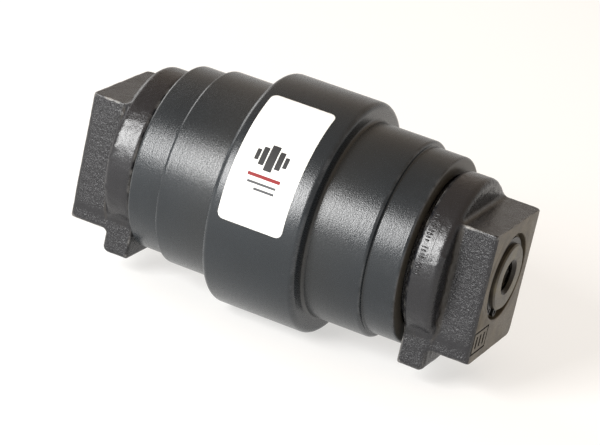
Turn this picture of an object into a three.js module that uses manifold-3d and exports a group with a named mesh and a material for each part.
// Bottom track roller with a centre flange, for a mini excavator's rubber track.
// Millimetres, +Z up. The origin is on the shaft's axis at mid width, and Y is the axis of spin.
// A forged shell turns on two bushes on a fixed shaft. A collar at each end keys the shaft into
// the track frame, holds the outer half of a floating seal and is kept on by a retaining ring.
import * as THREE from 'three';
import { mergeVertices } from 'three/addons/utils/BufferGeometryUtils.js';
import Module from 'manifold-3d';

const wasm = await Module();
wasm.setup();

// ---- shell, from mid width outward ----
const FLANGE_RADIUS = 55;
const FLANGE_WIDTH = 46;
const FLANGE_EDGE = 2.6;
const TREAD_RADIUS = 46.5;
const TREAD_WIDTH = 28.5;
const TREAD_EDGE = 1.8;
const HUB_RADIUS = 44;
const HUB_WIDTH = 15.5;
const HUB_EDGE = 1.5;
const ROOT_FILLET = 1.5;
const CAVITY_STEP = 3;

// ---- shaft ----
const SHAFT_END_RADIUS = 15.5;
const SHOULDER_HEIGHT = 2;
const SHAFT_PROUD = 1;
const SHAFT_CHAMFER = 0.6;
const BOLT_HOLE_RADIUS = 7;
const BOLT_HOLE_DEPTH = 32;
const BOLT_HOLE_LEAD = 1.5;
const OIL_HOLE_RADIUS = 2.5;
const PLUG_RADIUS = 4.9;
const PLUG_LENGTH = 8;
const PLUG_SOCKET_RADIUS = 2.9;
const PLUG_SOCKET_DEPTH = 4.5;

// ---- bushes ----
const BUSH_WALL = 3.4;
const BUSH_LENGTH = 30;
const BUSH_RIM_WIDTH = 4.6;
const BUSH_RIM_THICK = 3;

// ---- floating seals, depths counted from the lapped plane to each side ----
const SEAL_PLANE_DEPTH = 5.5;
const SEAL_WALL = 2.8;
const SEAL_FACE_THICK = 2;
const SEAL_DEPTH = 7.5;
const TORIC_THICK = 5;
const RAMP_RISE = 0.5;
const RAMP_START = 1.6;

// ---- collars ----
const COLLAR_GAP = 1.8;
const COLLAR_RADIUS = 39;
const COLLAR_WIDTH = 14.4;
const COLLAR_INNER_CHAMFER = 2.4;
const COLLAR_OUTER_EDGE = 3.4;
const NOSE_WALL = 7.8;
const HOUSING_WALL = 2.1;
const BLOCK_HALF_WIDTH = 27;
const BLOCK_LENGTH = 18;
const BLOCK_TOP = 26;
const BLOCK_BOTTOM = -35.6;
const BLOCK_TOP_EDGE = 1;
const BLOCK_FRONT_EDGE = 2;
const BLOCK_REAR_EDGE = 5;
const BLOCK_END_EDGE = 3;
const BURIED_EDGE = 1;
const LUG_BOTTOM = -46;
const LUG_WIDTH = 13.4;
const LUG_INNER_EDGE = 1.5;
const LUG_OUTER_EDGE = 3.4;

// ---- retaining rings in their pockets, and the shaft's O-rings ----
const POCKET_WIDTH = 4.8;
const POCKET_DEPTH = 2.8;
const RING_THICK = 1.5;
const RING_GROOVE_DEPTH = 0.9;
const RING_WALL = 3.4;
const RING_LUG_RADIUS = 2.1;
const RING_EYE_RADIUS = 1.1;
const RING_GAP_ANGLE = 32;
const RING_GAP_PLACE = 250;
const O_RING_SECTION = 1.1;
const O_RING_INSET = 13;

// ---- label wrapped on the centre flange; angles rise from -X towards +Z ----
const LABEL_LOW_ANGLE = 1.5;
const LABEL_HIGH_ANGLE = 69;
const LABEL_NEAR_EDGE = -14.2;
const LABEL_FAR_EDGE = 17.5;
const LABEL_THICK = 0.25;
const LABEL_CORNER = 3;

// ---- clearances ----
const RUNNING_CLEARANCE = 0.2;
const NOSE_CLEARANCE = 1.1;
const LABYRINTH_CLEARANCE = 1;
const SEAL_END_CLEARANCE = 0.7;
const RING_CLEARANCE = 0.7;
const SEAT_CLEARANCE = 0.1;
const PRESS_CLEARANCE = 0.05;
const END_FLOAT = 0.3;
const OVERCUT = 1;

// ---- faceting ----
const ROUND_STEPS = 40;
const HOLE_STEPS = 16;
const SECTION_STEPS = 6;
const FILLET_STEPS = 3;
const SPRING_STEPS = 15;
const LUG_STEPS = 6;
const EYE_STEPS = 4;
const HEX = 6;

// ---- stations along Y, outward ----
const flangeEnd = FLANGE_WIDTH / 2;
const treadEnd = flangeEnd + TREAD_WIDTH;
const shellEnd = treadEnd + HUB_WIDTH;
const collarStart = shellEnd + COLLAR_GAP;
const collarEnd = collarStart + COLLAR_WIDTH;
const blockEnd = collarEnd + BLOCK_LENGTH;
const shaftEnd = blockEnd + SHAFT_PROUD;
const lappedPlane = shellEnd - SEAL_PLANE_DEPTH;
const toricDepth = Math.max((SEAL_FACE_THICK + SEAL_DEPTH) / 2,
  SEAL_FACE_THICK + TORIC_THICK / 2 + SEAT_CLEARANCE);
const sealRoomDepth = Math.max(SEAL_DEPTH, toricDepth + TORIC_THICK / 2) + SEAL_END_CLEARANCE;
const sealFloor = lappedPlane - sealRoomDepth;
const thrustFace = sealFloor - SEAT_CLEARANCE;
const bushStart = thrustFace - BUSH_LENGTH;
const shoulder = thrustFace + END_FLOAT;
const pocketFloor = blockEnd - POCKET_DEPTH;
const ringPlane = pocketFloor + SEAT_CLEARANCE;
const oRingPlane = pocketFloor - O_RING_INSET;
const boltHoleFloor = shaftEnd - BOLT_HOLE_DEPTH;

// ---- radii, outward ----
const journalRadius = SHAFT_END_RADIUS + SHOULDER_HEIGHT;
const bushBore = journalRadius + RUNNING_CLEARANCE;
const bushRadius = bushBore + BUSH_WALL;
const bushRimRadius = bushRadius + BUSH_RIM_WIDTH;
const shellBore = bushRadius + PRESS_CLEARANCE;
const cavityRadius = shellBore + CAVITY_STEP;
const collarBore = SHAFT_END_RADIUS + RUNNING_CLEARANCE;
const noseRadius = collarBore + NOSE_WALL;
const sealBore = noseRadius + NOSE_CLEARANCE;
const neckRadius = sealBore + SEAL_WALL;
const seatRadius = neckRadius + TORIC_THICK;
const housingRadius = seatRadius + RAMP_RISE + HOUSING_WALL;
const mouthRadius = housingRadius + LABYRINTH_CLEARANCE;
const sealFaceRadius = seatRadius + RAMP_RISE - 2 * LABYRINTH_CLEARANCE;
const ringGrooveRadius = SHAFT_END_RADIUS - RING_GROOVE_DEPTH;
const ringBore = ringGrooveRadius + SEAT_CLEARANCE;
const ringRadius = ringBore + RING_WALL;
const pocketRadius = SHAFT_END_RADIUS + POCKET_WIDTH;

const radians = (degrees) => THREE.MathUtils.degToRad(degrees);

// ---------------------------------------------------------------- solids and cuts

function solidOf(geometry) {
  const bare = geometry.clone();
  bare.deleteAttribute('normal');
  bare.deleteAttribute('uv');
  const welded = mergeVertices(bare, 1e-4);
  return new wasm.Manifold(new wasm.Mesh({
    numProp: 3,
    vertProperties: new Float32Array(welded.attributes.position.array),
    triVerts: new Uint32Array(welded.index.array),
  }));
}

function geometryOf(solid) {
  const mesh = solid.getMesh();
  const geometry = new THREE.BufferGeometry();
  geometry.setAttribute('position', new THREE.BufferAttribute(mesh.vertProperties, 3));
  geometry.setIndex(new THREE.BufferAttribute(mesh.triVerts, 1));
  return geometry;
}

const joined = (...pieces) => geometryOf(
  pieces.slice(1).reduce((body, piece) => body.add(solidOf(piece)), solidOf(pieces[0])));

const cut = (blank, ...tools) => geometryOf(
  tools.reduce((body, tool) => body.subtract(solidOf(tool)), solidOf(blank)));

const shared = (first, second) => geometryOf(solidOf(first).intersect(solidOf(second)));

// The same shape on the other side of mid width, with its faces turned to point out again.
function mirrored(geometry) {
  const copy = geometry.clone().scale(1, -1, 1);
  const index = copy.index.array;
  for (let i = 0; i < index.length; i += 3) [index[i], index[i + 1]] = [index[i + 1], index[i]];
  return copy;
}

// Turns a closed outline of [radius, y] points about Y. A facet lies flat on each of four sides.
function turned(outline, steps = ROUND_STEPS) {
  const area = outline.reduce((sum, [r, y], i) => {
    const [nextR, nextY] = outline[(i + 1) % outline.length];
    return sum + r * nextY - nextR * y;
  }, 0);
  const ordered = area > 0 ? outline : [...outline].reverse();
  const points = [...ordered, ordered[0]].map(([r, y]) => new THREE.Vector2(r, y));
  return geometryOf(solidOf(new THREE.LatheGeometry(points, steps, Math.PI / steps)));
}

// A plain turned disc or pin between two stations.
const disc = (radius, from, to, steps) => turned(
  [[0, from], [radius, from], [radius, to], [0, to]], steps);

// A four-sided shape with its own rounding at each corner, in the order
// low-low, high-low, high-high, low-high.
function roundedShape([lowU, lowV], [highU, highV], edges) {
  const corners = [[lowU, lowV, 1, 1], [highU, lowV, -1, 1], [highU, highV, -1, -1],
    [lowU, highV, 1, -1]];
  const shape = new THREE.Shape();
  corners.forEach(([u, v, towardsU, towardsV], i) => {
    const start = Math.PI + i * Math.PI / 2;
    const edge = edges[i];
    shape.absarc(u + towardsU * edge, v + towardsV * edge, edge, start, start + Math.PI / 2);
  });
  return shape;
}

// Pushes a shape out from one station to another. Its two axes and the way it is pushed are
// named by their letters, in right-handed order.
function pushed(shape, letters, from, to, curveSegments = FILLET_STEPS) {
  const [u, v, w] = [...letters].map((letter) => new THREE.Vector3(
    ...['x', 'y', 'z'].map((name) => Number(name === letter))));
  return new THREE.ExtrudeGeometry(shape, { depth: to - from, bevelEnabled: false, curveSegments })
    .translate(0, 0, from)
    .applyMatrix4(new THREE.Matrix4().makeBasis(u, v, w));
}

// ---------------------------------------------------------------- roller shell

function makeShell() {
  const half = [
    [FLANGE_RADIUS, flangeEnd - FLANGE_EDGE],
    [FLANGE_RADIUS - FLANGE_EDGE, flangeEnd],
    [TREAD_RADIUS + ROOT_FILLET, flangeEnd],
    [TREAD_RADIUS, flangeEnd + ROOT_FILLET],
    [TREAD_RADIUS, treadEnd - TREAD_EDGE],
    [TREAD_RADIUS - TREAD_EDGE, treadEnd],
    [HUB_RADIUS, treadEnd],
    [HUB_RADIUS, shellEnd - HUB_EDGE],
    [HUB_RADIUS - HUB_EDGE, shellEnd],
    [mouthRadius, shellEnd],
    [mouthRadius, lappedPlane - RAMP_START],
    [seatRadius + RAMP_RISE, lappedPlane - RAMP_START],
    [seatRadius - RAMP_RISE, sealFloor],
    [bushRimRadius + PRESS_CLEARANCE, sealFloor],
    [bushRimRadius + PRESS_CLEARANCE, thrustFace - BUSH_RIM_THICK - PRESS_CLEARANCE],
    [shellBore, thrustFace - BUSH_RIM_THICK - PRESS_CLEARANCE],
    [shellBore, bushStart],
    [cavityRadius, bushStart],
  ];
  return turned([...half, ...half.map(([r, y]) => [r, -y]).reverse()]);
}

function makeLabel() {
  const middle = (LABEL_LOW_ANGLE + LABEL_HIGH_ANGLE) / 2;
  const halfAngle = radians(LABEL_HIGH_ANGLE - LABEL_LOW_ANGLE) / 2;
  const inner = FLANGE_RADIUS + PRESS_CLEARANCE;
  const outer = inner + LABEL_THICK;
  const halfHeight = outer * Math.sin(halfAngle);
  const band = turned([[inner, LABEL_NEAR_EDGE - OVERCUT], [outer, LABEL_NEAR_EDGE - OVERCUT],
    [outer, LABEL_FAR_EDGE + OVERCUT], [inner, LABEL_FAR_EDGE + OVERCUT]]);
  const sheet = roundedShape([LABEL_NEAR_EDGE, -halfHeight], [LABEL_FAR_EDGE, halfHeight],
    Array(4).fill(LABEL_CORNER));
  const cutter = pushed(sheet, 'yzx', -outer - OVERCUT, -inner * Math.cos(halfAngle) / 2)
    .rotateY(radians(middle));
  return shared(band, cutter);
}

// ---------------------------------------------------------------- bushes

const makeBush = () => turned([
  [bushBore, bushStart],
  [bushRadius, bushStart],
  [bushRadius, thrustFace - BUSH_RIM_THICK],
  [bushRimRadius, thrustFace - BUSH_RIM_THICK],
  [bushRimRadius, thrustFace],
  [bushBore, thrustFace],
]);

// ---------------------------------------------------------------- floating seals
// A depth is counted from the lapped plane: inward for the shell's half, outward for the collar's.

function makeSealRing(outward) {
  const at = (depth) => lappedPlane + outward * depth;
  return turned([
    [sealBore, at(PRESS_CLEARANCE)],
    [sealFaceRadius, at(PRESS_CLEARANCE)],
    [sealFaceRadius, at(SEAL_FACE_THICK)],
    [neckRadius + RAMP_RISE, at(SEAL_FACE_THICK)],
    [neckRadius - RAMP_RISE, at(SEAL_DEPTH)],
    [sealBore, at(SEAL_DEPTH)],
  ]);
}

// The points of a round rubber section about a centre.
const section = (radius, y, size) => Array.from({ length: SECTION_STEPS }, (_, i) => {
  const turn = ((i + 0.5) / SECTION_STEPS) * 2 * Math.PI;
  return [radius + size * Math.cos(turn), y + size * Math.sin(turn)];
});

function makeToric(outward) {
  const radius = neckRadius + TORIC_THICK / 2;
  const slope = Math.atan2(2 * RAMP_RISE, SEAL_DEPTH - SEAL_FACE_THICK);
  const size = TORIC_THICK / 2 * Math.cos(slope) - SEAT_CLEARANCE;
  return turned(section(radius, lappedPlane + outward * toricDepth, size));
}

// ---------------------------------------------------------------- collars

function makeCollarRound() {
  return turned([
    [0, shoulder + SEAT_CLEARANCE],
    [noseRadius, shoulder + SEAT_CLEARANCE],
    [noseRadius, lappedPlane + RAMP_START],
    [housingRadius, lappedPlane + RAMP_START],
    [housingRadius, collarStart],
    [COLLAR_RADIUS - COLLAR_INNER_CHAMFER, collarStart],
    [COLLAR_RADIUS, collarStart + COLLAR_INNER_CHAMFER],
    [COLLAR_RADIUS, collarEnd - COLLAR_OUTER_EDGE],
    [COLLAR_RADIUS - COLLAR_OUTER_EDGE, collarEnd],
    [0, collarEnd],
  ]);
}

// The block that keys into the track frame: its end view and its plan, both with round corners.
function makeCollarBlock() {
  const start = collarStart + COLLAR_WIDTH / 2;
  const endView = roundedShape([BLOCK_BOTTOM, -BLOCK_HALF_WIDTH], [BLOCK_TOP, BLOCK_HALF_WIDTH],
    [BLOCK_FRONT_EDGE, BLOCK_TOP_EDGE, BLOCK_TOP_EDGE, BLOCK_REAR_EDGE]);
  const plan = roundedShape([-BLOCK_HALF_WIDTH, start], [BLOCK_HALF_WIDTH, blockEnd],
    [BURIED_EDGE, BURIED_EDGE, BLOCK_END_EDGE, BLOCK_END_EDGE]);
  return shared(pushed(endView, 'zxy', start, blockEnd),
    pushed(plan, 'xyz', BLOCK_BOTTOM, BLOCK_TOP));
}

function makeCollarLug() {
  const sideView = roundedShape([collarStart, LUG_BOTTOM], [collarStart + LUG_WIDTH, 0],
    [LUG_INNER_EDGE, LUG_OUTER_EDGE, BURIED_EDGE, BURIED_EDGE]);
  return pushed(sideView, 'yzx', -BLOCK_HALF_WIDTH, BLOCK_HALF_WIDTH);
}

function makeCollar() {
  const body = joined(makeCollarRound(), makeCollarBlock(), makeCollarLug());
  const bore = disc(collarBore, shoulder - OVERCUT, blockEnd + OVERCUT);
  const pocket = disc(pocketRadius, pocketFloor, blockEnd + OVERCUT);
  const sealRoom = turned([
    [noseRadius, lappedPlane],
    [seatRadius + RAMP_RISE, lappedPlane],
    [seatRadius + RAMP_RISE, lappedPlane + RAMP_START],
    [seatRadius - RAMP_RISE, lappedPlane + sealRoomDepth],
    [noseRadius, lappedPlane + sealRoomDepth],
  ]);
  return cut(body, bore, pocket, sealRoom);
}

// ---------------------------------------------------------------- shaft and what it carries

function shaftOutline() {
  const oRingRoot = SHAFT_END_RADIUS - 2 * O_RING_SECTION - SEAT_CLEARANCE;
  const oRingHalf = O_RING_SECTION + SEAT_CLEARANCE;
  const half = [
    [journalRadius, shoulder - SHAFT_CHAMFER],
    [journalRadius - SHAFT_CHAMFER, shoulder],
    [SHAFT_END_RADIUS, shoulder],
    [SHAFT_END_RADIUS, oRingPlane - oRingHalf],
    [oRingRoot, oRingPlane - oRingHalf],
    [oRingRoot, oRingPlane + oRingHalf],
    [SHAFT_END_RADIUS, oRingPlane + oRingHalf],
    [SHAFT_END_RADIUS, ringPlane - PRESS_CLEARANCE],
    [ringGrooveRadius, ringPlane - PRESS_CLEARANCE],
    [ringGrooveRadius, ringPlane + RING_THICK + PRESS_CLEARANCE],
    [SHAFT_END_RADIUS, ringPlane + RING_THICK + PRESS_CLEARANCE],
    [SHAFT_END_RADIUS, shaftEnd - SHAFT_CHAMFER],
    [SHAFT_END_RADIUS - SHAFT_CHAMFER, shaftEnd],
    [0, shaftEnd],
  ];
  return [...half, ...half.map(([r, y]) => [r, -y]).reverse()];
}

function makeBoltHole() {
  const mouth = BOLT_HOLE_RADIUS + BOLT_HOLE_LEAD;
  return turned([
    [0, boltHoleFloor],
    [BOLT_HOLE_RADIUS, boltHoleFloor],
    [BOLT_HOLE_RADIUS, shaftEnd - BOLT_HOLE_LEAD],
    [mouth, shaftEnd],
    [mouth, shaftEnd + OVERCUT],
    [0, shaftEnd + OVERCUT],
  ], HOLE_STEPS);
}

function makeShaft() {
  const boltHole = makeBoltHole();
  const plugHole = disc(PLUG_RADIUS + SEAT_CLEARANCE, -boltHoleFloor - OVERCUT,
    -boltHoleFloor + PLUG_LENGTH + SEAT_CLEARANCE, HOLE_STEPS);
  const oilHole = disc(OIL_HOLE_RADIUS, -boltHoleFloor, OIL_HOLE_RADIUS, HOLE_STEPS);
  const crossHole = new THREE.CylinderGeometry(OIL_HOLE_RADIUS, OIL_HOLE_RADIUS,
    2 * (journalRadius + OVERCUT), HOLE_STEPS).rotateX(Math.PI / 2);
  return cut(turned(shaftOutline()), boltHole, mirrored(boltHole), plugHole,
    oilHole, crossHole);
}

function makePlug() {
  const face = -boltHoleFloor;
  const socket = new THREE.CylinderGeometry(PLUG_SOCKET_RADIUS, PLUG_SOCKET_RADIUS,
    2 * PLUG_SOCKET_DEPTH, HEX).translate(0, face, 0);
  return cut(disc(PLUG_RADIUS, face, face + PLUG_LENGTH, HOLE_STEPS), socket);
}

const makeORing = () => turned(
  section(SHAFT_END_RADIUS + PRESS_CLEARANCE - O_RING_SECTION, oRingPlane, O_RING_SECTION));

// An open spring ring with an eyed lug at each side of its gap. Angles rise from +X towards +Z.
function makeRetainingRing() {
  const place = radians(RING_GAP_PLACE);
  const halfGap = radians(RING_GAP_ANGLE) / 2;
  const lugCircle = pocketRadius - RING_CLEARANCE - RING_LUG_RADIUS;
  const from = place + halfGap;
  const to = place - halfGap + 2 * Math.PI;
  const open = new THREE.Shape();
  open.absarc(0, 0, ringRadius, from, to, false);
  open.absarc(0, 0, ringBore, to, from, true);
  const layer = (shape, margin, steps) => pushed(shape, 'xyz', -margin, RING_THICK + margin, steps);
  const round = (angle, radius) => new THREE.Shape().absarc(
    lugCircle * Math.cos(angle), lugCircle * Math.sin(angle), radius, 0, 2 * Math.PI);
  const lugs = [from, to].map((angle) => layer(round(angle, RING_LUG_RADIUS), 0, LUG_STEPS));
  const eyes = [from, to].map((angle) => layer(round(angle, RING_EYE_RADIUS), OVERCUT, EYE_STEPS));
  return cut(joined(layer(open, 0, SPRING_STEPS), ...lugs), ...eyes)
    .rotateX(Math.PI / 2)
    .translate(0, -ringPlane, 0);
}

// ---------------------------------------------------------------- finishes

const finish = (color, roughness, metalness) => new THREE.MeshStandardMaterial(
  { color, roughness, metalness });

const blackPaint = () => finish(0x3c3f44, 0.45, 0.1);
const collarPaint = () => finish(0x45454a, 0.6, 0.1);
const groundSteel = () => finish(0x9a948c, 0.35, 0.9);
const blackOxide = () => finish(0x2b2b2d, 0.5, 0.7);
const bronze = () => finish(0xb08a4a, 0.4, 0.9);
const sealIron = () => finish(0x8f9398, 0.25, 0.9);
const blackRubber = () => finish(0x1b1b1c, 0.8, 0);
const labelVinyl = () => finish(0xf4f4f1, 0.4, 0);

// ---------------------------------------------------------------- assembly

const assembly = new THREE.Group();

function place(name, geometry, material) {
  const mesh = new THREE.Mesh(geometry, material);
  mesh.name = name;
  assembly.add(mesh);
}

// Places a piece at the far end and its mirror image at the near end.
function placePair(name, geometry, material) {
  place(`${name}_far`, geometry, material());
  place(`${name}_near`, mirrored(geometry), material());
}

place('roller_shell', makeShell(), blackPaint());
place('flange_label', makeLabel(), labelVinyl());
place('axle_shaft', makeShaft(), groundSteel());
place('oil_filler_plug', makePlug(), blackOxide());
placePair('bush', makeBush(), bronze);
placePair('seal_ring_shell', makeSealRing(-1), sealIron);
placePair('toric_ring_shell', makeToric(-1), blackRubber);
placePair('seal_ring_collar', makeSealRing(1), sealIron);
placePair('toric_ring_collar', makeToric(1), blackRubber);
placePair('end_collar', makeCollar(), collarPaint);
placePair('shaft_o_ring', makeORing(), blackRubber);
place('retaining_ring_near', makeRetainingRing(), blackOxide());
place('retaining_ring_far', mirrored(makeRetainingRing()), blackOxide());

export default assembly;
